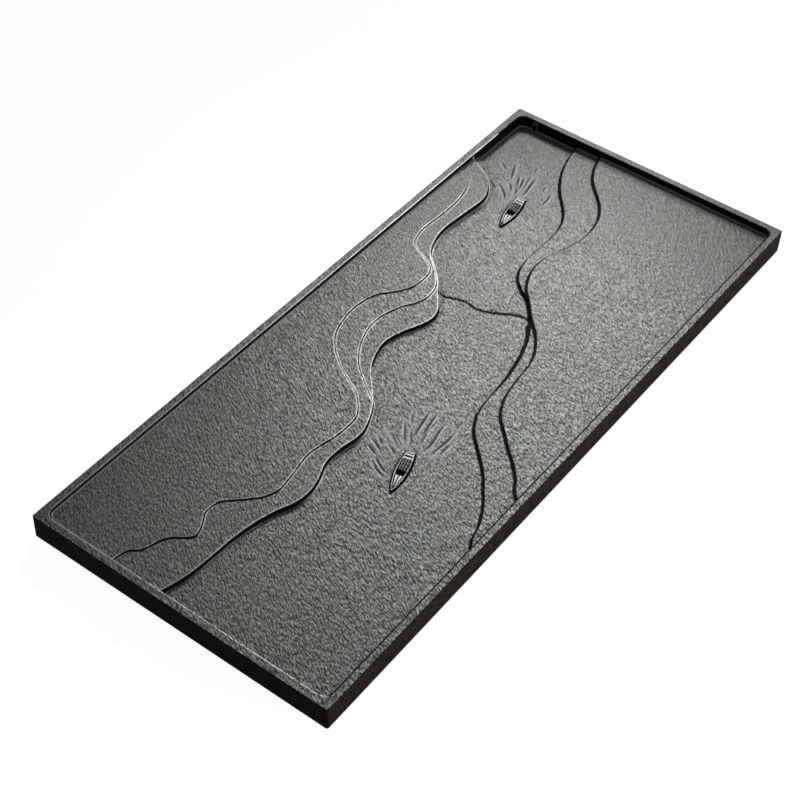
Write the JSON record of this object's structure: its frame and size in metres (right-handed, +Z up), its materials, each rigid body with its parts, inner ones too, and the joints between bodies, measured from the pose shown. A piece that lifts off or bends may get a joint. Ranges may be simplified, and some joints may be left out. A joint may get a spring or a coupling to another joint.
{
  "type": "gongfu tea tray",
  "caption": "Long rectangular stone tea tray with a flat rim, a basin carved as a sloping river between terraced banks, a drain sleeve in one end wall and soft feet below.",
  "frame": {"origin": "under the middle of the tray, on the plane that the feet stand on", "axes": "+X along the river to its deep far end, +Y across the tray to the high left bank, +Z up"},
  "size_m": [0.7, 0.306, 0.028],
  "materials": {
    "stone": "rough carved dark stone",
    "steel": "turned",
    "tape": "foam adhesive",
    "feet": "soft matte"
  },
  "bodies": {
    "root": {"tray_slab": "stone", "drain_sleeve": "steel", "tape_discs": "tape", "foot_1": "feet", "foot_2": "feet", "foot_3": "feet", "foot_4": "feet", "foot_5": "feet", "foot_6": "feet", "foot_7": "feet", "foot_8": "feet"}
  },
  "joints": []
}
